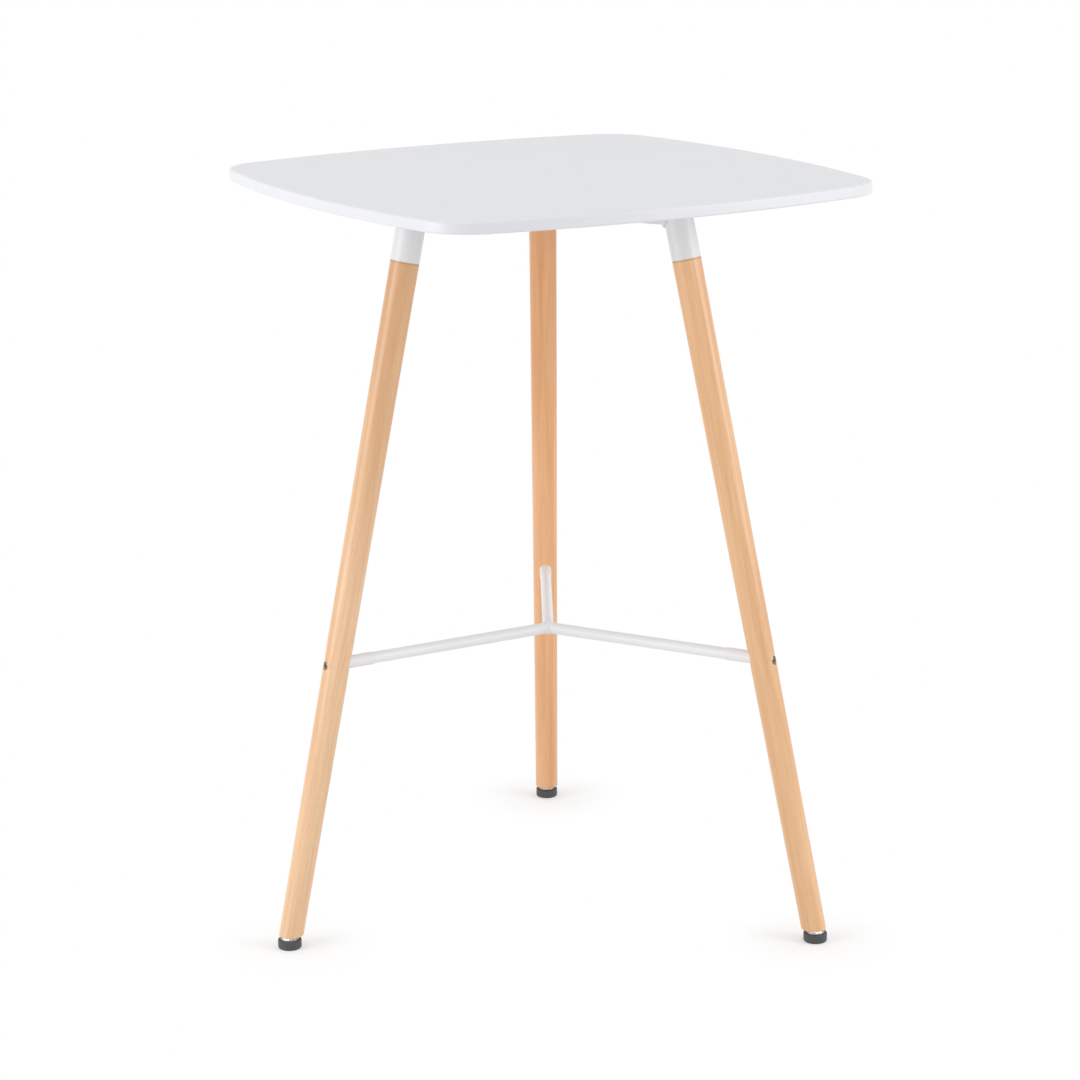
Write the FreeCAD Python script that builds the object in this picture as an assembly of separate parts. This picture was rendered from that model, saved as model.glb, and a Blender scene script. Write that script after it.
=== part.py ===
import FreeCAD, Part
import math
import os

from FreeCAD import Vector

# Driving dimensions, in millimetres and degrees

table_height = 1050.0
top_width = 740.0
top_thickness = 16.0
foot_circle_radius = 425.0
leg_splay = 12.2
leg_sides = ("left", "right", "rear")
left_leg_azimuth = 180.0

# Tabletop

side_radius = 1500.0
corner_radius = 80.0
top_edge_round = 3.0
bottom_edge_round = 2.5

# Under-frame and sockets

tube_diameter = 40.0
tube_wall = 2.0
plate_thickness = 2.5
socket_length = 65.0
centre_plate_diameter = 150.0
centre_screw_circle_share = 0.74
end_plate_length = 84.0
end_plate_width = 96.0
end_plate_corner = 12.0
end_plate_shift = 14.0
end_screw_spread_share = 0.76

# Legs

leg_top_diameter = tube_diameter
leg_bottom_diameter = 34.0
shoulder_chamfer = 0.8
foot_chamfer = 0.8
spigot_clearance = 0.1
spigot_gap = 20.0
spigot_chamfer = 1.5
retaining_screw_drop = 40.0

# Footrest

footrest_height = 399.0
rung_diameter = 16.0
rung_wall = 1.5
rung_end_gap = 6.0
ferrule_diameter = 17.6
ferrule_length = 36.0
ferrule_edge_bevel = 0.4
ferrule_clearance = 0.1

# Screws, bolts and bushes

wood_screw_diameter = 4.0
wood_screw_head = 8.0
wood_screw_head_height = 2.6
wood_screw_head_round = 1.3
wood_screw_key_size = 2.6
wood_screw_key_depth = 1.3
wood_screw_grip = 11.0
screw_hole_clearance = 0.25
retaining_screw_diameter = 5.0
retaining_screw_head = 8.2
retaining_screw_rim = 0.2
retaining_screw_sink = 0.3
retaining_screw_length = 16.0
retaining_screw_key_size = 2.5
retaining_screw_key_depth = 1.1
bolt_diameter = 6.0
bolt_head_diameter = 10.5
bolt_head_height = 3.2
bolt_head_dome = 1.2
bolt_hole_clearance = 0.3
bolt_running_clearance = 0.05
bolt_grip = 16.0
counterbore_diameter = 12.4
counterbore_depth = 4.5
hex_key_size = 4.0
hex_key_depth = 2.2
bush_length = 20.0
bush_clearance = 0.1
bush_collar_diameter = 15.2
bush_collar_height = 1.0

# Levelling feet

stud_diameter = 8.0
stud_length = 30.0
stud_clearance = 0.05
stud_bore_clearance = 0.3
insert_diameter = 12.0
insert_length = 20.0
insert_flange_diameter = 23.0
insert_flange_height = 1.2
stud_room = 4.0
stud_tip_chamfer = 1.0
stud_flange_diameter = 25.0
stud_flange_height = 1.2
collar_across_flats = 17.0
collar_height = 2.0
collar_gap = 0.3
pad_diameter = 33.0
pad_height = 13.0
pad_bottom_round = 3.0
pad_top_bevel = 1.0
pad_flange_gap = 0.2
ball_diameter = 10.0
ball_height = 6.6
ball_lip_height = 2.9
ball_clearance = 0.08
neck_diameter = 6.0
neck_opening_diameter = 12.0

# Worked out from the driving dimensions

overrun = table_height
tolerance = 0.01
origin = Vector(0, 0, 0)
axis_x = Vector(1, 0, 0)
axis_y = Vector(0, 1, 0)
axis_z = Vector(0, 0, 1)
leg_spacing = 360.0 / len(leg_sides)
leg_azimuths = {side: left_leg_azimuth + leg_spacing * place for place, side in enumerate(leg_sides)}
splay = math.radians(leg_splay)
underside = table_height - top_thickness
tube_radius = tube_diameter / 2
tube_bore = tube_radius - tube_wall
arm_axis_height = underside - plate_thickness - tube_radius
elbow_radius = foot_circle_radius - arm_axis_height * math.tan(splay)
elbow_along = arm_axis_height / math.cos(splay)
shoulder_along = elbow_along - socket_length
spigot_top = elbow_along - spigot_gap
retaining_along = elbow_along - retaining_screw_drop
retaining_top = tube_radius - retaining_screw_sink
retaining_tip = retaining_top - retaining_screw_length
pad_centre = Vector(foot_circle_radius - ball_height * math.tan(splay), 0, 0)
stud_flange_bottom = pad_height + pad_flange_gap
collar_bottom = stud_flange_bottom + stud_flange_height
collar_top = collar_bottom + collar_height
stud_top = collar_top + stud_length
flange_bottom = collar_top + collar_gap
leg_end_height = flange_bottom + insert_flange_height
insert_top = leg_end_height + insert_length
footrest_share = footrest_height / math.cos(splay) / shoulder_along
footrest_leg_diameter = leg_bottom_diameter + (leg_top_diameter - leg_bottom_diameter) * footrest_share
leg_half_width = footrest_leg_diameter / 2 / math.cos(splay)
leg_crossing = foot_circle_radius - footrest_height * math.tan(splay)
leg_inner_face = leg_crossing - leg_half_width
rung_end = leg_inner_face - rung_end_gap
collar_face = rung_end + bush_collar_height
bolt_seat = leg_crossing + leg_half_width - counterbore_depth
footrest_centre = Vector(0, 0, footrest_height)


# Placing and basic shapes

def on_leg(shape, azimuth):
    """From the leg's own frame (Z up its axis, X outwards, origin at the floor) to the table's."""
    placed = shape.copy()
    placed.rotate(origin, axis_y, -leg_splay)
    placed.translate(Vector(foot_circle_radius, 0, 0))
    placed.rotate(origin, axis_z, azimuth)
    return placed


def at_foot(shape, azimuth):
    """From a foot's own frame (upright, origin on the floor under its stud) to the table's."""
    placed = shape.copy()
    placed.translate(pad_centre)
    placed.rotate(origin, axis_z, azimuth)
    return placed


def turned(shape, azimuth):
    """A copy turned about the table's vertical axis."""
    placed = shape.copy()
    placed.rotate(origin, axis_z, azimuth)
    return placed


def revolved(profile):
    """A solid turned about Z from (radius, height) corners."""
    points = [Vector(radius, 0, height) for radius, height in profile]
    face = Part.Face(Part.makePolygon(points + [points[0]]))
    return face.revolve(origin, axis_z, 360)


def rod(diameter, start, end, centre=origin, direction=axis_z):
    """A cylinder along a direction between two distances from its centre point."""
    base = centre + direction * start
    return Part.makeCylinder(diameter / 2, end - start, base, direction)


def kept_side(shape, point, normal):
    """The part of a shape on the side of a plane that the normal points to."""
    block = Part.makeBox(overrun * 2, overrun * 2, overrun * 2, Vector(-overrun, -overrun, 0))
    block.Placement = FreeCAD.Placement(point, FreeCAD.Rotation(axis_z, normal))
    return shape.common(block)


def kept_third(shape):
    """The part of a shape nearer to the X axis than to the next leg's line, so all meet at mitres."""
    half = overrun * math.tan(math.radians(leg_spacing / 2))
    corners = [Vector(0, 0, 0), Vector(overrun, -half, 0), Vector(overrun, half, 0), Vector(0, 0, 0)]
    wedge = Part.Face(Part.makePolygon(corners)).extrude(axis_z * overrun * 2)
    wedge.translate(Vector(0, 0, -overrun))
    return shape.common(wedge)


def hexagon_prism(across_flats, height, base):
    """A hexagonal prism standing on base along Z."""
    corner = across_flats / math.sqrt(3)
    turns = [math.radians(60 * step) for step in range(7)]
    points = [base + Vector(corner * math.cos(turn), corner * math.sin(turn), 0) for turn in turns]
    return Part.Face(Part.makePolygon(points)).extrude(axis_z * height)


def rounded_plate(length, width, thickness, corner):
    """A flat plate with round corners, centred on Z, from z = 0 upwards."""
    plate = Part.makeBox(length, width, thickness, Vector(-length / 2, -width / 2, 0))
    upright = [edge for edge in plate.Edges if abs(edge.tangentAt(edge.FirstParameter).z) > 0.5]
    return plate.makeFillet(corner, upright)


# Tabletop

def top_outline():
    """Closed wire of four bowed sides and four round corners, all tangent arcs."""
    side_centre = top_width / 2 - side_radius
    reach = side_radius - corner_radius
    corner_centre = (side_centre + math.sqrt(2 * reach ** 2 - side_centre ** 2)) / 2
    tangency = math.atan2(corner_centre, corner_centre - side_centre)
    arcs = []
    for quarter in range(4):
        side = [Vector(side_centre + side_radius * math.cos(turn), side_radius * math.sin(turn), 0)
                for turn in (-tangency, 0, tangency)]
        corner = [Vector(corner_centre + corner_radius * math.cos(turn),
                         corner_centre + corner_radius * math.sin(turn), 0)
                  for turn in (tangency, math.pi / 4, math.pi / 2 - tangency)]
        for points in (side, corner):
            arc = Part.Arc(*points).toShape()
            arc.rotate(origin, axis_z, quarter * 90)
            arcs.append(arc)
    return Part.Wire(Part.__sortEdges__(arcs))


def edges_at(shape, height):
    """Edges that lie wholly at one height."""
    return [edge for edge in shape.Edges
            if abs(edge.BoundBox.ZMin - height) < tolerance
            and abs(edge.BoundBox.ZMax - height) < tolerance]


def tabletop():
    board = Part.Face(top_outline()).extrude(axis_z * top_thickness)
    board.translate(Vector(0, 0, underside))
    board = board.makeFillet(top_edge_round, edges_at(board, table_height))
    board = board.makeFillet(bottom_edge_round, edges_at(board, underside))
    for x, y in centre_screw_places() + end_screw_places():
        board = board.cut(rod(wood_screw_diameter, 0, wood_screw_grip, Vector(x, y, underside)))
    return board


# Under-frame

def centre_screw_places():
    """Three screws through the centre plate, midway between the arms."""
    circle = centre_plate_diameter * centre_screw_circle_share / 2
    turns = [math.radians(azimuth + 180) for azimuth in leg_azimuths.values()]
    return [(circle * math.cos(turn), circle * math.sin(turn)) for turn in turns]


def end_plate_centre(azimuth):
    turn = math.radians(azimuth)
    reach = elbow_radius - end_plate_shift
    return Vector(reach * math.cos(turn), reach * math.sin(turn), 0)


def end_screw_places_of(azimuth):
    """Two screws through one end plate, either side of its arm."""
    turn = math.radians(azimuth)
    offset = end_plate_width * end_screw_spread_share / 2
    across = Vector(-math.sin(turn), math.cos(turn), 0)
    centre = end_plate_centre(azimuth)
    places = [centre + across * offset, centre - across * offset]
    return [(place.x, place.y) for place in places]


def end_screw_places():
    return [place for azimuth in leg_azimuths.values() for place in end_screw_places_of(azimuth)]


def screw_holes(plate, places):
    hole = wood_screw_diameter + 2 * screw_hole_clearance
    for x, y in places:
        plate = plate.cut(rod(hole, -overrun, overrun, Vector(x, y, underside)))
    return plate


def centre_plate():
    plate = rod(centre_plate_diameter, -plate_thickness, 0, Vector(0, 0, underside))
    return screw_holes(plate, centre_screw_places())


def end_plate(azimuth):
    plate = rounded_plate(end_plate_length, end_plate_width, plate_thickness, end_plate_corner)
    plate = turned(plate, azimuth)
    plate.translate(end_plate_centre(azimuth) + Vector(0, 0, underside - plate_thickness))
    return screw_holes(plate, end_screw_places_of(azimuth))


def wood_screws(places):
    """Pan-head screws up through a plate into the top, as separate solids."""
    head_bottom = -plate_thickness - wood_screw_head_height
    screws = []
    for x, y in places:
        foot = Vector(x, y, underside)
        head = rod(wood_screw_head, head_bottom, -plate_thickness, foot)
        head = head.makeFillet(wood_screw_head_round, edges_at(head, underside + head_bottom))
        recess = hexagon_prism(wood_screw_key_size, wood_screw_key_depth, foot + axis_z * head_bottom)
        shank = rod(wood_screw_diameter, -plate_thickness, wood_screw_grip, foot)
        screws.append(head.cut(recess).fuse(shank).removeSplitter())
    return Part.makeCompound(screws)


def elbow_point():
    return Vector(elbow_radius, 0, arm_axis_height)


def elbow_normal():
    """Normal of the mitre between an arm and its socket, pointing to the socket's side."""
    return Vector(1 + math.sin(splay), 0, -math.cos(splay)).normalize()


def frame_arm(azimuth):
    height = Vector(0, 0, arm_axis_height)
    reach = elbow_radius + tube_diameter
    tube = rod(tube_diameter, 0, reach, height, axis_x)
    tube = tube.cut(rod(2 * tube_bore, -tube_diameter, reach + tube_diameter, height, axis_x))
    tube = kept_side(tube, elbow_point(), -elbow_normal())
    return turned(kept_third(tube), azimuth)


def leg_socket(azimuth):
    reach = elbow_along + tube_diameter
    tube = rod(tube_diameter, shoulder_along, reach)
    tube = tube.cut(rod(2 * tube_bore, shoulder_along - tube_wall, reach + tube_wall))
    tube = tube.cut(countersunk_shape(screw_hole_clearance, tube_diameter))
    tube = kept_side(on_leg(tube, 0), elbow_point(), elbow_normal())
    return turned(tube, azimuth)


def countersunk_shape(grown, top):
    """The retaining screw's outline through the socket's inner side, grown all round for its hole."""
    shank = retaining_screw_diameter / 2 + grown
    rim = retaining_screw_head / 2 + grown
    cone_top = retaining_top - retaining_screw_rim
    cone_bottom = cone_top - (retaining_screw_head - retaining_screw_diameter) / 2
    shape = revolved([
        (0, retaining_tip),
        (shank, retaining_tip),
        (shank, cone_bottom),
        (rim, cone_top),
        (rim, top),
        (0, top),
    ])
    return inwards_from_leg(shape)


def inwards_from_leg(shape):
    """From a screw's frame (Z out of its head) to the leg's, with the head towards the middle."""
    placed = shape.copy()
    placed.rotate(origin, axis_y, -90)
    placed.translate(Vector(0, 0, retaining_along))
    return placed


def retaining_screw(azimuth):
    """Countersunk screw through the socket's inner side into the leg's spigot."""
    base = Vector(0, 0, retaining_top - retaining_screw_key_depth)
    recess = hexagon_prism(retaining_screw_key_size, retaining_screw_head, base)
    screw = countersunk_shape(0, retaining_top).cut(inwards_from_leg(recess))
    return on_leg(screw, azimuth)


# Legs

def leg_blank():
    """The turned leg with its spigot, cut level at its foot, before any hole is drilled."""
    bottom = leg_bottom_diameter / 2
    top = leg_top_diameter / 2
    spigot = tube_bore - spigot_clearance
    body = revolved([
        (0, 0),
        (bottom, 0),
        (top, shoulder_along - shoulder_chamfer),
        (top - shoulder_chamfer, shoulder_along),
        (spigot, shoulder_along),
        (spigot, spigot_top - spigot_chamfer),
        (spigot - spigot_chamfer, spigot_top),
        (0, spigot_top),
    ])
    body = kept_side(on_leg(body, 0), Vector(0, 0, leg_end_height), axis_z)
    return body.makeChamfer(foot_chamfer, edges_at(body, leg_end_height))


def leg(azimuth):
    body = leg_blank()
    body = body.cut(at_foot(rod(insert_diameter, 0, insert_top), 0))
    body = body.cut(at_foot(rod(stud_diameter + 2 * stud_bore_clearance, 0, stud_top + stud_room), 0))
    screw_centre = Vector(0, 0, retaining_along)
    screw_hole = rod(retaining_screw_diameter, retaining_tip, tube_diameter, screw_centre, -axis_x)
    body = body.cut(on_leg(screw_hole, 0))
    bolt_hole = bolt_diameter + 2 * bolt_hole_clearance
    body = body.cut(rod(bolt_hole, rung_end, bolt_seat + tube_diameter, footrest_centre, axis_x))
    counterbore = rod(counterbore_diameter, bolt_seat, bolt_seat + tube_diameter, footrest_centre, axis_x)
    return turned(body.cut(counterbore), azimuth)


# Footrest

def along_rung(shape, azimuth):
    """From a rung's own frame (Z along it, origin at the middle of the footrest) to the table's."""
    placed = shape.copy()
    placed.rotate(origin, axis_y, 90)
    placed.translate(footrest_centre)
    placed.rotate(origin, axis_z, azimuth)
    return placed


def footrest_rung(azimuth):
    """Level tube, mitred against the two others and open towards its leg."""
    tube = rod(rung_diameter, 0, rung_end, footrest_centre, axis_x)
    bore = rod(rung_diameter - 2 * rung_wall, -rung_diameter, overrun, footrest_centre, axis_x)
    return turned(kept_third(tube.cut(bore)), azimuth)


def footrest_ferrule(azimuth):
    """Sleeve over the rung's end, closed by a web and hollowed to sit against the round leg."""
    outer = ferrule_diameter / 2
    bore = rung_diameter / 2 + ferrule_clearance
    hole = bolt_diameter / 2 + bolt_hole_clearance
    open_end = leg_inner_face - ferrule_length
    sleeve = revolved([
        (bore, open_end),
        (outer - ferrule_edge_bevel, open_end),
        (outer, open_end + ferrule_edge_bevel),
        (outer, leg_crossing),
        (hole, leg_crossing),
        (hole, collar_face),
        (bore, collar_face),
    ])
    return turned(along_rung(sleeve, 0).cut(leg_blank()), azimuth)


def footrest_bush(azimuth):
    """Threaded bush in the rung's end, its collar against the end of the tube."""
    bore = bolt_diameter / 2 + bolt_running_clearance
    barrel = rung_diameter / 2 - rung_wall - bush_clearance
    bush = revolved([
        (bore, rung_end - bush_length),
        (barrel, rung_end - bush_length),
        (barrel, rung_end),
        (bush_collar_diameter / 2, rung_end),
        (bush_collar_diameter / 2, collar_face),
        (bore, collar_face),
    ])
    return along_rung(bush, azimuth)


def footrest_bolt(azimuth):
    """Button-head bolt with a hexagon socket, in line with the rung and sunk in the leg's outer face."""
    tip = rung_end - bolt_grip
    head_radius = bolt_head_diameter / 2
    head_top = bolt_seat + bolt_head_height
    bolt = revolved([
        (0, tip),
        (bolt_diameter / 2, tip),
        (bolt_diameter / 2, bolt_seat),
        (head_radius, bolt_seat),
        (head_radius, head_top - bolt_head_dome),
        (head_radius - bolt_head_dome, head_top),
        (0, head_top),
    ])
    recess = hexagon_prism(hex_key_size, bolt_head_height, Vector(0, 0, head_top - hex_key_depth))
    return along_rung(bolt.cut(recess), azimuth)


# Levelling feet

def leg_insert(azimuth):
    """Threaded insert, pressed in upright, with a flange against the leg's end."""
    bore = stud_diameter / 2 + stud_clearance
    insert = revolved([
        (bore, flange_bottom),
        (insert_flange_diameter / 2, flange_bottom),
        (insert_flange_diameter / 2, leg_end_height),
        (insert_diameter / 2, leg_end_height),
        (insert_diameter / 2, insert_top),
        (bore, insert_top),
    ])
    return at_foot(insert, azimuth)


def levelling_stud(azimuth):
    """Stud with a round flange over the pad, a hexagon collar on it and a ball that swivels in the pad."""
    radius = stud_diameter / 2
    neck = neck_diameter / 2
    spindle = revolved([
        (0, ball_height),
        (neck, ball_height),
        (neck, stud_flange_bottom),
        (stud_flange_diameter / 2, stud_flange_bottom),
        (stud_flange_diameter / 2, collar_bottom),
        (radius, collar_bottom),
        (radius, stud_top - stud_tip_chamfer),
        (radius - stud_tip_chamfer, stud_top),
        (0, stud_top),
    ])
    ball = Part.makeSphere(ball_diameter / 2, Vector(0, 0, ball_height))
    collar = hexagon_prism(collar_across_flats, collar_height, Vector(0, 0, collar_bottom))
    return at_foot(spindle.fuse([ball, collar]).removeSplitter(), azimuth)


def foot_pad(azimuth):
    """Dark pad that stands flat on the floor, with a ball socket and a flared way in for the neck."""
    pad = rod(pad_diameter, 0, pad_height)
    pad = pad.makeFillet(pad_bottom_round, edges_at(pad, 0))
    pad = pad.makeChamfer(pad_top_bevel, edges_at(pad, pad_height))
    socket = ball_diameter / 2 + ball_clearance
    lip = math.sqrt(socket ** 2 - ball_lip_height ** 2)
    lip_place = Vector(0, 0, ball_height + ball_lip_height)
    flare = Part.makeCone(lip, neck_opening_diameter / 2, pad_height - lip_place.z, lip_place)
    pad = pad.cut([Part.makeSphere(socket, Vector(0, 0, ball_height)), flare])
    return at_foot(pad, azimuth)


# Export

def export(name, shape):
    solids = shape.Solids
    body = solids[0] if len(solids) == 1 else Part.makeCompound(solids)
    body.exportStep("parts/" + name + ".step")


def main():
    os.makedirs("parts", exist_ok=True)
    export("tabletop", tabletop())
    export("centre_plate", centre_plate())
    export("centre_plate_screws", wood_screws(centre_screw_places()))
    export("end_plate_screws", wood_screws(end_screw_places()))
    per_leg = {
        "end_plate": end_plate,
        "frame_arm": frame_arm,
        "leg_socket": leg_socket,
        "retaining_screw": retaining_screw,
        "leg": leg,
        "footrest_rung": footrest_rung,
        "footrest_ferrule": footrest_ferrule,
        "footrest_bush": footrest_bush,
        "footrest_bolt": footrest_bolt,
        "leg_insert": leg_insert,
        "levelling_stud": levelling_stud,
        "foot_pad": foot_pad,
    }
    for side, azimuth in leg_azimuths.items():
        for piece, make in per_leg.items():
            export(piece + "_" + side, make(azimuth))


main()
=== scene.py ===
import math

import bmesh
import bpy
from mathutils import Matrix, Vector


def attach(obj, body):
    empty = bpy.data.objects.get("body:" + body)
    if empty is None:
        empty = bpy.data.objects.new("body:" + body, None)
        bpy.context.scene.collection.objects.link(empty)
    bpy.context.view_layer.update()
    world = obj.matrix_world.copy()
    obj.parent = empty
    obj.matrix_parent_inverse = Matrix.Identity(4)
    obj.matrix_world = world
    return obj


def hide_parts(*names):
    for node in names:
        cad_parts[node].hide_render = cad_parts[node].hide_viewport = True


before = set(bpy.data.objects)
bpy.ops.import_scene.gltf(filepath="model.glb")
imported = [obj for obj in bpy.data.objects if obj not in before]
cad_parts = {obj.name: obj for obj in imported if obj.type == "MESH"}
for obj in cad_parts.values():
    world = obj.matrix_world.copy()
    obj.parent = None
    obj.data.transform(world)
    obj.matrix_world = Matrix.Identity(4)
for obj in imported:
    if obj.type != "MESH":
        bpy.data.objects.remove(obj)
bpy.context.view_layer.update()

# Sizes that the finishes and added pieces share, in millimetres and degrees

leg_splay = 12.2
foot_circle_radius = 425.0
leg_azimuths = {"left": 180.0, "right": 300.0, "rear": 60.0}
shoulder_along = 969.9
tube_radius = 20.0
arm_axis_height = 1011.5
elbow_radius = 206.3
end_plate_welds = (158.0, 192.0)
centre_plate_welds = (34.0, 66.0)
rung_radius = 8.0
footrest_height = 399.0
half_junction_angle = 60.0

# Added pieces: how near corners are merged, how far shapes inside one piece overlap, which edges are sharp,
# and how many sides a turned piece has

merge_distance = 0.002
overlap = 0.1
sharp_from = 50.0
turned_steps = 64

# Welds

outer_elbow_bead = 1.3
inner_elbow_bead = 4.6
under_frame_bead = 2.4
plate_bead = 3.0
plate_bead_end_share = 0.6
footrest_bead = 1.9
bead_ripple = 0.9
bead_step = 1.6
bead_sides = 10

# Footrest bolts

bolt_tip = 298.0
bolt_tip_chamfer = 0.7
bolt_seat = 352.9
bolt_radius = 3.0
bolt_head_radius = 5.2
bolt_head_chamfer = 0.2
bolt_head_rim = 0.9
bolt_head_height = 3.2
bolt_key_size = 4.0
bolt_key_land = 0.55
bolt_key_countersink = 0.1
bolt_key_depth = 2.2
dome_steps = 10

# Levelling studs; the thread's ridge has its foot and crest at shares of the pitch to either side

stud_place_radius = 423.57
stud_radius = 4.0
stud_top = 46.4
stud_tip_height = 1.0
stud_tip_depth = 0.8
thread_pitch = 1.25
thread_depth_share = 0.65
ridge_foot_share = 0.42
ridge_crest_share = 0.08
thread_start = 18.4
thread_turns = 21
thread_steps = 24
stud_flange_radius = 12.5
stud_flange_bottom = 13.2
stud_flange_top = 14.4
flange_rounding = 0.35
flange_rounding_middle = 0.1
collar_across_flats = 17.0
collar_turn = 30.0
collar_top = 16.4
collar_rounding = 0.35
collar_rounding_steps = 3
neck_radius = 3.0
ball_radius = 5.0
ball_height = 6.6
ball_steps = 12

# Ferrules

ferrule_open_end = 284.05
ferrule_radius = 8.8
ferrule_bore_radius = 8.1
ferrule_bore_chamfer = 0.15
ferrule_lip = 0.4
ferrule_lip_middle = 0.12
ferrule_saddle_depth = 1.7
leg_crossing = 338.73
leg_radius_at_footrest = 18.26

# Beech: light and dark wood, as no two pieces are alike, and painted shade darkening each leg's upper end

beech_tones_and_painted_shade = {
    "left": ("F6CEA4", "EABB8F", "EDE2D4"),
    "right": ("F4C596", "E6B280", "FFFEFC"),
    "rear": ("FBC393", "ECAE79", "ECE3D7"),
}
pore_tone = "C98F5E"
fleck_tone = "B9784A"
# The next tone is painted shadow: the dark line in the gap just below the socket
joint_shadow_tone = "A8703F"
cut_tone = "F6E3C6"

# Places along a leg from its foot: the painted shade on the upper end starts and is full; and below
# the shoulder, the painted shadow line's start, and the start and full strength of the cut edge

painted_shade_start = 450.0
painted_shade_full = 900.0
joint_shadow_start = shoulder_along - 3.2
cut_start = shoulder_along - 1.0
cut_full = shoulder_along - 0.7

# Camera, at the viewing angle of the photograph

camera_place = (-2201.5, -3717.5, 1634.1)
camera_heading = 30.495
camera_tilt_down = 14.356
camera_roll = -0.558
camera_lens = 104.63
camera_sensor = 36.0

# Studio; a softbox has a place, a width and a power in watts, and faces the middle of the table

floor_size = 60000.0
floor_shade_near = 20.0
floor_shade_far = 130.0
floor_glow = 0.43
floor_colour = "E4E4E4"
floor_shadow_colour = "D0D0D0"
world_level = 0.6
softboxes = {
    "left_softbox": ((-3100.0, 150.0, 1100.0), 1800.0, 37.0),
    "right_softbox": ((2300.0, -2900.0, 1500.0), 1800.0, 48.0),
    "top_softbox": ((-200.0, 200.0, 4200.0), 3000.0, 20.0),
}
table_middle = (0.0, 0.0, 600.0)


def linear(code):
    """Linear colour of an sRGB hex code."""
    parts = [int(code[place:place + 2], 16) / 255 for place in (0, 2, 4)]
    return [part / 12.92 if part <= 0.04045 else ((part + 0.055) / 1.055) ** 2.4 for part in parts] + [1.0]


def metres(millimetres):
    return millimetres / 1000.0


def per_size(millimetres):
    """Texture scale at which one feature of a pattern is about this wide."""
    return 1000.0 / millimetres


def place_at(azimuth, reach, across, height):
    """A point in millimetres from its reach along a leg's azimuth, its offset across it and its height."""
    turn = math.radians(azimuth)
    return Vector((reach * math.cos(turn) - across * math.sin(turn),
                   reach * math.sin(turn) + across * math.cos(turn), height))


def add_object(name, data):
    """Adds an object with a mesh, lamp or camera to the scene."""
    made = bpy.data.objects.new(name, data)
    bpy.context.scene.collection.objects.link(made)
    return made


def add_node(tree, kind, inputs=None, **settings):
    """Adds a node with its settings, and sets its sockets or links them to other nodes' outputs."""
    made = tree.nodes.new(kind)
    for name, value in settings.items():
        setattr(made, name, value)
    for name, value in (inputs or {}).items():
        if isinstance(value, bpy.types.NodeSocket):
            tree.links.new(value, made.inputs[name])
        else:
            made.inputs[name].default_value = value
    return made


def empty_tree(owner):
    """The node tree of a material or world, with no nodes in it."""
    owner.use_nodes = True
    owner.node_tree.nodes.clear()
    return owner.node_tree


def new_finish(name, sockets):
    """A material with one Principled shader; gives the material, its tree, shader and Object coordinates."""
    material = bpy.data.materials.new(name)
    tree = empty_tree(material)
    shader = add_node(tree, "ShaderNodeBsdfPrincipled", sockets)
    add_node(tree, "ShaderNodeOutputMaterial", {"Surface": shader.outputs["BSDF"]})
    coordinates = add_node(tree, "ShaderNodeTexCoord")
    return material, tree, shader, coordinates.outputs["Object"]


# Finishes

def satin_lacquered_board():
    """Fibreboard sprayed with white satin lacquer: nearly flat, a trace of orange peel and wiping marks."""
    material, tree, shader, place = new_finish("satin_lacquered_board", {"IOR": 1.5})
    cloud = add_node(tree, "ShaderNodeTexNoise", {"Vector": place, "Scale": per_size(90), "Detail": 3.0})
    tone = add_node(tree, "ShaderNodeMix", {
        "Factor": cloud.outputs["Fac"], "A": linear("E8E9ED"), "B": linear("EBECF0")}, data_type="RGBA")
    tree.links.new(tone.outputs["Result"], shader.inputs["Base Color"])
    wiping = add_node(tree, "ShaderNodeTexNoise", {"Vector": place, "Scale": per_size(35), "Detail": 4.0})
    sheen = add_node(tree, "ShaderNodeMapRange", {
        "Value": wiping.outputs["Fac"], "To Min": 0.30, "To Max": 0.40})
    tree.links.new(sheen.outputs["Result"], shader.inputs["Roughness"])
    peel = add_node(tree, "ShaderNodeTexNoise", {"Vector": place, "Scale": per_size(2.5), "Detail": 1.0})
    bump = add_node(tree, "ShaderNodeBump", {
        "Height": peel.outputs["Fac"], "Distance": metres(0.01), "Strength": 0.5})
    tree.links.new(bump.outputs["Normal"], shader.inputs["Normal"])
    return material


def powder_coated_steel(name, dark_tone, light_tone):
    """Steel with baked white powder: satin, finely pebbled, in faint clouds of thick and thin coat."""
    material, tree, shader, place = new_finish(name, {"IOR": 1.5})
    cloud = add_node(tree, "ShaderNodeTexNoise", {"Vector": place, "Scale": per_size(25), "Detail": 3.0})
    tone = add_node(tree, "ShaderNodeMix", {
        "Factor": cloud.outputs["Fac"], "A": linear(dark_tone), "B": linear(light_tone)}, data_type="RGBA")
    tree.links.new(tone.outputs["Result"], shader.inputs["Base Color"])
    sheen = add_node(tree, "ShaderNodeMapRange", {
        "Value": cloud.outputs["Fac"], "To Min": 0.32, "To Max": 0.44})
    tree.links.new(sheen.outputs["Result"], shader.inputs["Roughness"])
    pebble = add_node(tree, "ShaderNodeTexNoise", {"Vector": place, "Scale": per_size(0.9), "Detail": 2.0})
    bump = add_node(tree, "ShaderNodeBump", {
        "Height": pebble.outputs["Fac"], "Distance": metres(0.03), "Strength": 0.35})
    tree.links.new(bump.outputs["Normal"], shader.inputs["Normal"])
    return material


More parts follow.
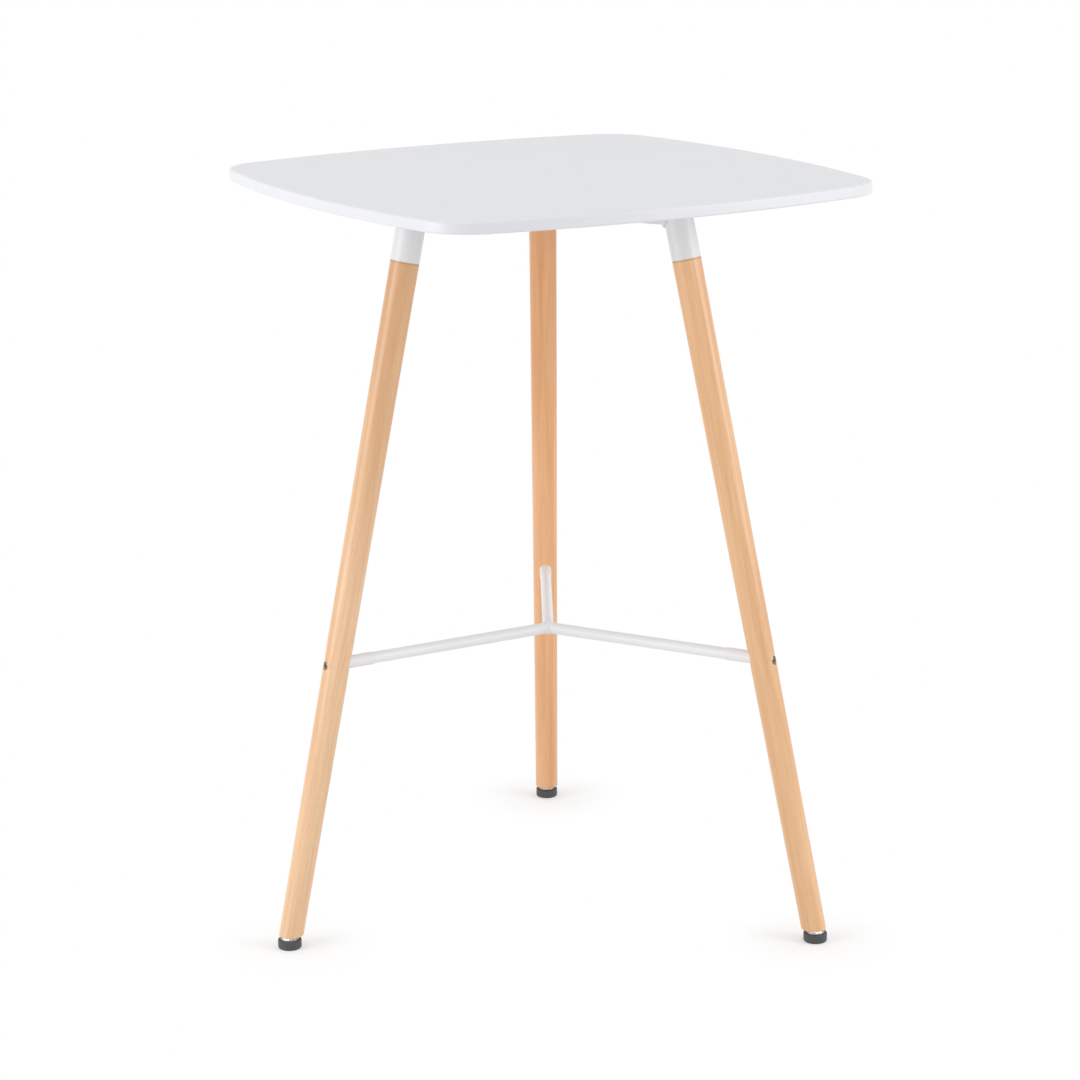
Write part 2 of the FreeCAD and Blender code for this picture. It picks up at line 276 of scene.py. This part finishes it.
def lacquered_beech(side):
    """Turned steamed beech under clear satin lacquer: warm, with soft broad streaks along the grain,
    fine pores, short darker flecks, a paler cut shoulder with a thin painted shadow line below it, and
    painted shade darkening the upper end as if under the tabletop."""
    # Single pores are 0.1 mm wide, too fine to show, so they are drawn as bundles 2.2 mm wide
    streak_width, streak_stretch = 13, 22
    pore_width, pore_stretch = 2.2, 45
    fleck_width, fleck_stretch = 0.9, 6
    material, tree, shader, place = new_finish("lacquered_beech_" + side, {
        "IOR": 1.5, "Coat Weight": 0.3, "Coat Roughness": 0.22})
    # The third tone is painted shade: it darkens the upper end of the leg as if in the tabletop's shadow
    early_wood, late_wood, upper_painted_shade = beech_tones_and_painted_shade[side]
    foot = place_at(leg_azimuths[side], foot_circle_radius, 0, 0) / 1000.0
    in_leg = add_node(tree, "ShaderNodeMapping", {
        "Vector": place, "Location": foot,
        "Rotation": (0, -math.radians(leg_splay), math.radians(leg_azimuths[side]))},
        vector_type="TEXTURE")
    long_grain = add_node(tree, "ShaderNodeMapping", {
        "Vector": in_leg.outputs["Vector"], "Scale": (1, 1, 1 / streak_stretch)})
    streaks = add_node(tree, "ShaderNodeTexNoise", {
        "Vector": long_grain.outputs["Vector"], "Scale": per_size(streak_width),
        "Detail": 2.0, "Distortion": 0.4})
    tone = add_node(tree, "ShaderNodeValToRGB", {"Fac": streaks.outputs["Fac"]})
    dark_stop, light_stop = tone.color_ramp.elements
    dark_stop.position, dark_stop.color = 0.3, linear(late_wood)
    light_stop.position, light_stop.color = 0.68, linear(early_wood)
    fine_grain = add_node(tree, "ShaderNodeMapping", {
        "Vector": in_leg.outputs["Vector"], "Scale": (1, 1, 1 / pore_stretch)})
    pores = add_node(tree, "ShaderNodeTexNoise", {
        "Vector": fine_grain.outputs["Vector"], "Scale": per_size(pore_width),
        "Detail": 3.0, "Roughness": 0.6})
    pore_share = add_node(tree, "ShaderNodeMapRange", {
        "Value": pores.outputs["Fac"], "From Min": 0.45, "From Max": 0.8, "To Min": 0.0, "To Max": 0.35})
    grained = add_node(tree, "ShaderNodeMix", {
        "Factor": pore_share.outputs["Result"], "A": tone.outputs["Color"], "B": linear(pore_tone)},
        data_type="RGBA")
    short_grain = add_node(tree, "ShaderNodeMapping", {
        "Vector": in_leg.outputs["Vector"], "Scale": (1, 1, 1 / fleck_stretch)})
    flecks = add_node(tree, "ShaderNodeTexNoise", {
        "Vector": short_grain.outputs["Vector"], "Scale": per_size(fleck_width), "Detail": 1.0})
    fleck_share = add_node(tree, "ShaderNodeMapRange", {
        "Value": flecks.outputs["Fac"], "From Min": 0.64, "From Max": 0.76, "To Min": 0.0, "To Max": 0.25})
    flecked = add_node(tree, "ShaderNodeMix", {
        "Factor": fleck_share.outputs["Result"], "A": grained.outputs["Result"], "B": linear(fleck_tone)},
        data_type="RGBA")
    along = add_node(tree, "ShaderNodeSeparateXYZ", {"Vector": in_leg.outputs["Vector"]})
    # Painted shade: the upper end is darkened towards the tabletop
    painted_shade_share = add_node(tree, "ShaderNodeMapRange", {
        "Value": along.outputs["Z"], "From Min": metres(painted_shade_start), "From Max": metres(painted_shade_full)},
        interpolation_type="SMOOTHSTEP")
    shaded_under_top = add_node(tree, "ShaderNodeMix", {
        "Factor": painted_shade_share.outputs["Result"], "A": flecked.outputs["Result"], "B": linear(upper_painted_shade)},
        data_type="RGBA", blend_type="MULTIPLY")
    # Painted shadow: a thin dark line just below the shoulder, where the socket's joint is in shade
    shoulder = add_node(tree, "ShaderNodeMapRange", {
        "Value": along.outputs["Z"], "From Min": metres(joint_shadow_start), "From Max": metres(shoulder_along)})
    joint_shadow_share = add_node(tree, "ShaderNodeValToRGB", {"Fac": shoulder.outputs["Result"]})
    stops = joint_shadow_share.color_ramp.elements
    stops[0].position, stops[0].color = 0.0, (0, 0, 0, 1)
    stops[1].position, stops[1].color = 0.45, (0.6, 0.6, 0.6, 1)
    stops.new(0.62).color = (0.6, 0.6, 0.6, 1)
    stops.new(0.7).color = (0, 0, 0, 1)
    joint_shadowed = add_node(tree, "ShaderNodeMix", {
        "Factor": joint_shadow_share.outputs["Color"], "A": shaded_under_top.outputs["Result"], "B": linear(joint_shadow_tone)},
        data_type="RGBA")
    cut_share = add_node(tree, "ShaderNodeMapRange", {
        "Value": along.outputs["Z"], "From Min": metres(cut_start), "From Max": metres(cut_full),
        "To Min": 0.0, "To Max": 0.7})
    colour = add_node(tree, "ShaderNodeMix", {
        "Factor": cut_share.outputs["Result"], "A": joint_shadowed.outputs["Result"], "B": linear(cut_tone)},
        data_type="RGBA")
    tree.links.new(colour.outputs["Result"], shader.inputs["Base Color"])
    sheen = add_node(tree, "ShaderNodeMapRange", {
        "Value": pores.outputs["Fac"], "To Min": 0.34, "To Max": 0.5})
    tree.links.new(sheen.outputs["Result"], shader.inputs["Roughness"])
    bump = add_node(tree, "ShaderNodeBump", {
        "Height": pores.outputs["Fac"], "Distance": metres(0.04), "Strength": 0.3})
    tree.links.new(bump.outputs["Normal"], shader.inputs["Normal"])
    return material


def zinc_plated_steel(name, dark_tone, light_tone):
    """Machined steel under zinc: cool grey metal with a patchy sheen and a trace of machining marks."""
    material, tree, shader, place = new_finish(name, {"Metallic": 1.0})
    cloud = add_node(tree, "ShaderNodeTexNoise", {"Vector": place, "Scale": per_size(3), "Detail": 3.0})
    tone = add_node(tree, "ShaderNodeMix", {
        "Factor": cloud.outputs["Fac"], "A": linear(dark_tone), "B": linear(light_tone)}, data_type="RGBA")
    tree.links.new(tone.outputs["Result"], shader.inputs["Base Color"])
    sheen = add_node(tree, "ShaderNodeMapRange", {
        "Value": cloud.outputs["Fac"], "To Min": 0.24, "To Max": 0.4})
    tree.links.new(sheen.outputs["Result"], shader.inputs["Roughness"])
    # The real marks are 0.1 mm wide, too fine to show, and are drawn 0.4 mm wide
    marks = add_node(tree, "ShaderNodeTexNoise", {"Vector": place, "Scale": per_size(0.4), "Detail": 1.0})
    bump = add_node(tree, "ShaderNodeBump", {
        "Height": marks.outputs["Fac"], "Distance": metres(0.01), "Strength": 0.4})
    tree.links.new(bump.outputs["Normal"], shader.inputs["Normal"])
    return material


def moulded_polyamide(name, dark_tone, light_tone, grain_width):
    """Polyamide from a spark-eroded mould: matt, its grain as wide as given in millimetres."""
    # The real grain is 0.1 to 0.2 mm wide, too fine to show, so the width that is given is coarser
    grain_depth = grain_width / 12
    material, tree, shader, place = new_finish(name, {"IOR": 1.53})
    cloud = add_node(tree, "ShaderNodeTexNoise", {"Vector": place, "Scale": per_size(6), "Detail": 3.0})
    tone = add_node(tree, "ShaderNodeMix", {
        "Factor": cloud.outputs["Fac"], "A": linear(dark_tone), "B": linear(light_tone)}, data_type="RGBA")
    tree.links.new(tone.outputs["Result"], shader.inputs["Base Color"])
    sheen = add_node(tree, "ShaderNodeMapRange", {
        "Value": cloud.outputs["Fac"], "To Min": 0.45, "To Max": 0.6})
    tree.links.new(sheen.outputs["Result"], shader.inputs["Roughness"])
    grit = add_node(tree, "ShaderNodeTexNoise", {
        "Vector": place, "Scale": per_size(grain_width), "Detail": 2.0})
    bump = add_node(tree, "ShaderNodeBump", {
        "Height": grit.outputs["Fac"], "Distance": metres(grain_depth), "Strength": 0.5})
    tree.links.new(bump.outputs["Normal"], shader.inputs["Normal"])
    return material


# Added pieces

def add_piece(name, shape, finish, body):
    """Makes a shape an object with its faces outwards, which has a finish and rides on a body."""
    bmesh.ops.remove_doubles(shape, verts=shape.verts, dist=metres(merge_distance))
    bmesh.ops.recalc_face_normals(shape, faces=shape.faces)
    for face in shape.faces:
        face.smooth = True
    mesh = bpy.data.meshes.new(name)
    shape.to_mesh(mesh)
    shape.free()
    mesh.set_sharp_from_angle(angle=math.radians(sharp_from))
    mesh.materials.append(finish)
    piece = add_object(name, mesh)
    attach(piece, body)
    return piece


def edges_at(corners):
    """The edges that meet at corners, each of them once."""
    return list(dict.fromkeys(edge for corner in corners for edge in corner.link_edges))


def add_bead(shape, stations, closed):
    """A bead of weld metal through stations of (point, radius), rippled from each to the next."""
    last = len(stations) - 1
    rings = []
    for place, (point, radius) in enumerate(stations):
        ahead = stations[(place + 1) % len(stations) if closed else min(place + 1, last)][0]
        behind = stations[place - 1 if closed else max(place - 1, 0)][0]
        turn = (ahead - behind).to_track_quat("Z", "Y").to_matrix().to_4x4()
        rippled = radius * (bead_ripple if place % 2 else 1)
        ring = bmesh.ops.create_circle(
            shape, cap_ends=not closed and place in (0, last), segments=bead_sides,
            radius=metres(rippled), matrix=Matrix.Translation(point / 1000.0) @ turn)
        rings.append(edges_at(ring["verts"]))
    following = rings[1:] + rings[:1] if closed else rings[1:]
    for near, far in zip(rings, following):
        bmesh.ops.bridge_loops(shape, edges=near + far)


def elbow_weld(side, finish):
    """Bead all round the mitre of arm and socket, thick in the inner corner and ground thin outside."""
    splay = math.radians(leg_splay)
    slope = math.atan2(1 + math.sin(splay), math.cos(splay))
    long_radius = tube_radius / math.sin(slope)
    count = 2 * round(math.pi * (tube_radius + long_radius) / bead_step / 2)
    stations = []
    for step in range(count):
        turn = 2 * math.pi * step / count
        reach = elbow_radius + long_radius * math.cos(turn) * math.cos(slope)
        height = arm_axis_height + long_radius * math.cos(turn) * math.sin(slope)
        inner_share = ((1 - math.cos(turn)) / 2) ** 2
        radius = outer_elbow_bead + (inner_elbow_bead - outer_elbow_bead) * inner_share
        stations.append((place_at(leg_azimuths[side], reach, tube_radius * math.sin(turn), height), radius))
    shape = bmesh.new()
    add_bead(shape, stations, closed=True)
    add_piece("elbow_weld_" + side, shape, finish, "frame")


def junction_weld(name, radius, height, bead, finish):
    """Beads down the three mitres of equal level tubes that meet in the middle."""
    shape = bmesh.new()
    count = round(math.pi * radius / bead_step)
    for azimuth in leg_azimuths.values():
        stations = []
        for step in range(count + 1):
            turn = math.pi * (step / count - 0.5)
            reach = radius / math.sin(math.radians(half_junction_angle)) * math.cos(turn)
            place = place_at(azimuth + half_junction_angle, reach, 0, height + radius * math.sin(turn))
            stations.append((place, bead))
        add_bead(shape, stations, closed=False)
    add_piece(name, shape, finish, "frame")


def plate_welds(name, azimuths, ends, finish):
    """Straight fillets either side of a tube's top line, under a plate."""
    shape = bmesh.new()
    start, end = ends
    count = round((end - start) / bead_step)
    across = 2 * math.sqrt(tube_radius * plate_bead)
    height = arm_axis_height + tube_radius - plate_bead
    for azimuth in azimuths:
        for offset in (across, -across):
            stations = []
            for step in range(count + 1):
                fullness = 1 if 0 < step < count else plate_bead_end_share
                reach = start + (end - start) * step / count
                stations.append((place_at(azimuth, reach, offset, height), plate_bead * fullness))
            add_bead(shape, stations, closed=False)
    add_piece(name, shape, finish, "frame")


def turn_profile(shape, profile):
    """Turns a line of (radius, height) corners, in millimetres, about Z."""
    corners = [shape.verts.new((metres(radius), 0, metres(height))) for radius, height in profile]
    line = [shape.edges.new(pair) for pair in zip(corners, corners[1:])]
    bmesh.ops.spin(shape, geom=corners + line, cent=(0, 0, 0), axis=(0, 0, 1),
                   angle=2 * math.pi, steps=turned_steps, use_merge=True)


def arc_points(radius, centre_height, start, end, count, rise=1.0):
    """Profile points on an arc about the axis, from one elevation in degrees to another; rise makes the
    arc an ellipse, that much taller than wide."""
    turns = [math.radians(start + (end - start) * step / count) for step in range(count + 1)]
    return [(radius * math.cos(turn), centre_height + radius * rise * math.sin(turn)) for turn in turns]


def levelling_stud(side, finish):
    """Stud with a rolled thread, a chamfered hexagon on a round flange, and a ball in the pad."""
    shape = bmesh.new()
    root = stud_radius - thread_depth_share * thread_pitch
    neck_elevation = math.degrees(math.acos(neck_radius / ball_radius))
    ball = arc_points(ball_radius, ball_height, -90, neck_elevation, ball_steps)
    turn_profile(shape, [(0, ball_height - ball_radius)] + ball[1:] + [
        (neck_radius, stud_flange_bottom),
        (stud_flange_radius - flange_rounding, stud_flange_bottom),
        (stud_flange_radius - flange_rounding_middle, stud_flange_bottom + flange_rounding_middle),
        (stud_flange_radius, stud_flange_bottom + flange_rounding),
        (stud_flange_radius, stud_flange_top - flange_rounding),
        (stud_flange_radius - flange_rounding_middle, stud_flange_top - flange_rounding_middle),
        (stud_flange_radius - flange_rounding, stud_flange_top),
        (stud_flange_radius - 2 * flange_rounding, stud_flange_top),
        (root, stud_flange_top),
        (root, stud_top - stud_tip_height),
        (root - stud_tip_depth, stud_top),
        (0, stud_top),
    ])
    ridge = [(root - overlap, -ridge_foot_share), (stud_radius, -ridge_crest_share),
             (stud_radius, ridge_crest_share), (root - overlap, ridge_foot_share)]
    corners = [shape.verts.new((metres(radius), 0, metres(thread_start + share * thread_pitch)))
               for radius, share in ridge]
    section = shape.faces.new(corners)
    bmesh.ops.spin(shape, geom=corners + list(section.edges) + [section], cent=(0, 0, 0), axis=(0, 0, 1),
                   dvec=(0, 0, metres(thread_pitch / thread_steps)), angle=2 * math.pi * thread_turns,
                   steps=thread_steps * thread_turns)
    collar = bmesh.ops.create_circle(
        shape, cap_ends=True, segments=6, radius=metres(collar_across_flats / math.sqrt(3)),
        matrix=Matrix.Rotation(math.radians(collar_turn), 4, "Z"))
    bmesh.ops.translate(shape, verts=collar["verts"], vec=(0, 0, metres(stud_flange_top - overlap)))
    base = collar["verts"][0].link_faces[0]
    raised = bmesh.ops.extrude_face_region(shape, geom=[base], use_keep_orig=True)["geom"]
    lid = [part for part in raised if isinstance(part, bmesh.types.BMVert)]
    bmesh.ops.translate(shape, verts=lid, vec=(0, 0, metres(collar_top - stud_flange_top + overlap)))
    lid_edges = [edge for edge in edges_at(lid) if edge.verts[0] in lid and edge.verts[1] in lid]
    bmesh.ops.bevel(shape, geom=lid_edges, offset=metres(collar_rounding), segments=collar_rounding_steps,
                    profile=0.5, affect="EDGES", material=-1)
    foot = place_at(leg_azimuths[side], stud_place_radius, 0, 0)
    bmesh.ops.translate(shape, verts=shape.verts, vec=foot / 1000.0)
    stud = add_piece("threaded_stud_" + side, shape, finish, "stud_" + side)
    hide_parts("levelling_stud_" + side)


def along_rung(shape, side):
    """Lays a shape turned about Z along the footrest's rung of one side."""
    onto_side = Matrix.Rotation(math.radians(90), 3, "Y")
    towards_leg = Matrix.Rotation(math.radians(leg_azimuths[side]), 3, "Z")
    for turn in (onto_side, towards_leg):
        bmesh.ops.rotate(shape, verts=shape.verts, cent=(0, 0, 0), matrix=turn)
    bmesh.ops.translate(shape, verts=shape.verts, vec=(0, 0, metres(footrest_height)))


def rung_ferrule(side, finish):
    """Moulded sleeve over a rung's end, its lip rounded and its other end shaped to the round leg.
    That end goes into the leg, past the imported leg's facets beside the bolt hole."""
    shape = bmesh.new()
    turn_profile(shape, [
        (ferrule_bore_radius, leg_crossing),
        (ferrule_bore_radius, ferrule_open_end + ferrule_bore_chamfer),
        (ferrule_bore_radius + ferrule_bore_chamfer, ferrule_open_end),
        (ferrule_radius - ferrule_lip, ferrule_open_end),
        (ferrule_radius - ferrule_lip_middle, ferrule_open_end + ferrule_lip_middle),
        (ferrule_radius, ferrule_open_end + ferrule_lip),
        (ferrule_radius, ferrule_open_end + 2 * ferrule_lip),
        (ferrule_radius, leg_crossing),
        (ferrule_bore_radius, leg_crossing),
    ])
    splay = math.radians(leg_splay)
    middle = metres((ferrule_open_end + leg_crossing) / 2)
    for corner in shape.verts:
        if corner.co.z > middle:
            depth = math.sqrt(metres(leg_radius_at_footrest) ** 2 - corner.co.y ** 2) / math.cos(splay)
            corner.co.z += corner.co.x * math.tan(splay) - depth + metres(ferrule_saddle_depth)
    along_rung(shape, side)
    ferrule = add_piece("rung_ferrule_" + side, shape, finish, "frame")
    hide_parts("footrest_ferrule_" + side)


def footrest_bolt(side, finish):
    """Button-head bolt with a domed head and a sharp hexagon socket."""
    shape = bmesh.new()
    key_rim = bolt_key_size / 2 + bolt_key_land
    rim_share = key_rim / bolt_head_radius
    dome_height = bolt_head_height - bolt_head_rim
    top_share = math.sqrt(1 - rim_share ** 2)
    dome = arc_points(bolt_head_radius, bolt_seat + bolt_head_rim, 0, math.degrees(math.acos(rim_share)),
                      dome_steps, dome_height / bolt_head_radius / top_share)
    turn_profile(shape, [
        (0, bolt_tip),
        (bolt_radius - bolt_tip_chamfer, bolt_tip),
        (bolt_radius, bolt_tip + bolt_tip_chamfer),
        (bolt_radius, bolt_seat),
        (bolt_head_radius - bolt_head_chamfer, bolt_seat),
        (bolt_head_radius, bolt_seat + bolt_head_chamfer),
    ] + dome)
    bmesh.ops.remove_doubles(shape, verts=shape.verts, dist=metres(merge_distance))
    rim = [edge for edge in shape.edges if edge.is_boundary]
    key_height = bolt_seat + bolt_head_height - bolt_key_countersink
    key = bmesh.ops.create_circle(
        shape, cap_ends=False, segments=6, radius=metres(bolt_key_size / math.sqrt(3)),
        matrix=Matrix.Translation((0, 0, metres(key_height))))
    mouth = edges_at(key["verts"])
    bmesh.ops.bridge_loops(shape, edges=rim + mouth)
    walls = bmesh.ops.extrude_edge_only(shape, edges=mouth)["geom"]
    floor_corners = [part for part in walls if isinstance(part, bmesh.types.BMVert)]
    bmesh.ops.translate(shape, verts=floor_corners, vec=(0, 0, -metres(bolt_key_depth)))
    floor_edges = [part for part in walls if isinstance(part, bmesh.types.BMEdge)]
    bmesh.ops.edgeloop_fill(shape, edges=floor_edges)
    along_rung(shape, side)
    bolt = add_piece("button_head_bolt_" + side, shape, finish, "frame")
    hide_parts("footrest_bolt_" + side)


def finish_node(name, finish):
    """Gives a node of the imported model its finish."""
    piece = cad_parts[name]
    if not piece.material_slots:
        piece.data.materials.append(finish)
    for slot in piece.material_slots:
        slot.material = finish


# Floor, background, lamps and camera

def seen_share(tree):
    """1 for rays that see a surface, straight, mirrored or through glass, and 0 for rays that it lights."""
    path = add_node(tree, "ShaderNodeLightPath")
    seen = add_node(tree, "ShaderNodeMath", {
        0: path.outputs["Is Camera Ray"], 1: path.outputs["Is Glossy Ray"]}, operation="MAXIMUM")
    seen_through = add_node(tree, "ShaderNodeMath", {
        0: seen.outputs["Value"], 1: path.outputs["Is Transmission Ray"]}, operation="MAXIMUM")
    return seen_through.outputs["Value"]


def studio_floor():
    """White paper floor that keeps the shadows round the feet and fades into the background."""
    shape = bmesh.new()
    bmesh.ops.create_grid(shape, x_segments=1, y_segments=1, size=metres(floor_size) / 2)
    mesh = bpy.data.meshes.new("studio_floor")
    shape.to_mesh(mesh)
    shape.free()
    material = bpy.data.materials.new("white_paper_floor")
    tree = empty_tree(material)
    paper = add_node(tree, "ShaderNodeBsdfDiffuse", {"Color": linear(floor_colour)})
    shadow = add_node(tree, "ShaderNodeBsdfDiffuse", {"Color": linear(floor_shadow_colour)})
    half_glow = add_node(tree, "ShaderNodeEmission", {"Color": linear("FFFFFF"), "Strength": floor_glow})
    near = add_node(tree, "ShaderNodeAddShader", {
        0: shadow.outputs["BSDF"], 1: half_glow.outputs["Emission"]})
    glow = add_node(tree, "ShaderNodeEmission", {"Color": linear("FFFFFF"), "Strength": 1.0})
    # The distance to the nearest foot, no more than the floor's size
    place = add_node(tree, "ShaderNodeTexCoord")
    nearest = metres(floor_size)
    for azimuth in leg_azimuths.values():
        foot = place_at(azimuth, stud_place_radius, 0, 0) / 1000.0
        distance = add_node(tree, "ShaderNodeVectorMath", {
            0: place.outputs["Object"], 1: foot}, operation="DISTANCE")
        nearer = add_node(tree, "ShaderNodeMath", {
            0: distance.outputs["Value"], 1: nearest}, operation="MINIMUM")
        nearest = nearer.outputs["Value"]
    share = add_node(tree, "ShaderNodeMapRange", {
        "Value": nearest, "From Min": metres(floor_shade_near), "From Max": metres(floor_shade_far)},
        interpolation_type="SMOOTHSTEP")
    shown = add_node(tree, "ShaderNodeMixShader", {
        "Fac": share.outputs["Result"], 1: near.outputs["Shader"], 2: glow.outputs["Emission"]})
    surface = add_node(tree, "ShaderNodeMixShader", {
        "Fac": seen_share(tree), 1: paper.outputs["BSDF"], 2: shown.outputs["Shader"]})
    add_node(tree, "ShaderNodeOutputMaterial", {"Surface": surface.outputs["Shader"]})
    mesh.materials.append(material)
    floor = add_object("studio_floor", mesh)


def studio_world():
    """Even white surroundings: full white where they are seen or mirrored, a plain level as light."""
    world = bpy.data.worlds.new("studio_world")
    bpy.context.scene.world = world
    tree = empty_tree(world)
    level = add_node(tree, "ShaderNodeMapRange", {
        "Value": seen_share(tree), "To Min": world_level, "To Max": 1.0})
    background = add_node(tree, "ShaderNodeBackground", {
        "Color": linear("FFFFFF"), "Strength": level.outputs["Result"]})
    add_node(tree, "ShaderNodeOutputWorld", {"Surface": background.outputs["Background"]})


def softbox(name, place, width, watts):
    """A large square lamp that faces the middle of the table and isn't seen itself."""
    lamp = bpy.data.lights.new(name, "AREA")
    lamp.shape = "SQUARE"
    lamp.size = metres(width)
    lamp.energy = watts
    holder = add_object(name, lamp)
    holder.location = Vector(place) / 1000.0
    holder.visible_camera = False
    facing = Vector(table_middle) / 1000.0 - holder.location
    holder.rotation_euler = facing.to_track_quat("-Z", "Y").to_euler()


def photograph_camera():
    """The camera, from its place, heading, downward tilt and roll."""
    lens = bpy.data.cameras.new("photograph_camera")
    lens.sensor_width = camera_sensor
    lens.lens = camera_lens
    camera = add_object("photograph_camera", lens)
    heading = Matrix.Rotation(-math.radians(camera_heading), 4, "Z")
    tilt = Matrix.Rotation(math.radians(90 - camera_tilt_down), 4, "X")
    roll = Matrix.Rotation(math.radians(camera_roll), 4, "Z")
    camera.matrix_world = Matrix.Translation(Vector(camera_place) / 1000.0) @ heading @ tilt @ roll
    bpy.context.scene.camera = camera


photograph_camera()
studio_world()
studio_floor()
for name, (place, width, watts) in softboxes.items():
    softbox(name, place, width, watts)
bpy.context.scene.view_settings.view_transform = "Standard"

board = satin_lacquered_board()
# The frame's coat is a darker copy and the footrest's a lighter copy of one white powder coat: painted shade
# on the sockets under the tabletop, and painted light on the footrest
frame_steel_painted_shade = powder_coated_steel("powder_coated_steel_frame_painted_shade", "E4E4E5", "EAEAEB")
footrest_steel_painted_light = powder_coated_steel("powder_coated_steel_footrest_painted_light", "F4F4F5", "F8F8F9")
bright_zinc = zinc_plated_steel("bright_zinc_plated_steel", "DCDEE1", "ECEDEE")
# The bolts' zinc is a darker copy of the bright zinc: painted shade for the dark ring round each head
bolt_zinc_painted_shade = zinc_plated_steel("zinc_plated_steel_painted_shade", "7A7C7F", "939597")
dark_polyamide = moulded_polyamide("dark_moulded_polyamide", "434344", "505051", 0.6)
white_polyamide = moulded_polyamide("white_moulded_polyamide", "F2F2F3", "F6F6F7", 0.3)
finish_node("tabletop", board)
finish_node("centre_plate", frame_steel_painted_shade)
finish_node("centre_plate_screws", bright_zinc)
finish_node("end_plate_screws", bright_zinc)
for side, azimuth in leg_azimuths.items():
    finish_node("leg_" + side, lacquered_beech(side))
    for piece in ("end_plate_", "frame_arm_", "leg_socket_"):
        finish_node(piece + side, frame_steel_painted_shade)
    finish_node("footrest_rung_" + side, footrest_steel_painted_light)
    for piece in ("retaining_screw_", "footrest_bush_", "leg_insert_", "levelling_stud_"):
        finish_node(piece + side, bright_zinc)
    finish_node("footrest_ferrule_" + side, white_polyamide)
    finish_node("footrest_bolt_" + side, bolt_zinc_painted_shade)
    finish_node("foot_pad_" + side, dark_polyamide)
    elbow_weld(side, frame_steel_painted_shade)
    plate_welds("end_plate_welds_" + side, [azimuth], end_plate_welds, frame_steel_painted_shade)
    levelling_stud(side, bright_zinc)
    rung_ferrule(side, white_polyamide)
    footrest_bolt(side, bolt_zinc_painted_shade)
junction_weld("under_frame_weld", tube_radius, arm_axis_height, under_frame_bead, frame_steel_painted_shade)
junction_weld("footrest_weld", rung_radius, footrest_height, footrest_bead, footrest_steel_painted_light)
plate_welds("centre_plate_welds", leg_azimuths.values(), centre_plate_welds, frame_steel_painted_shade)
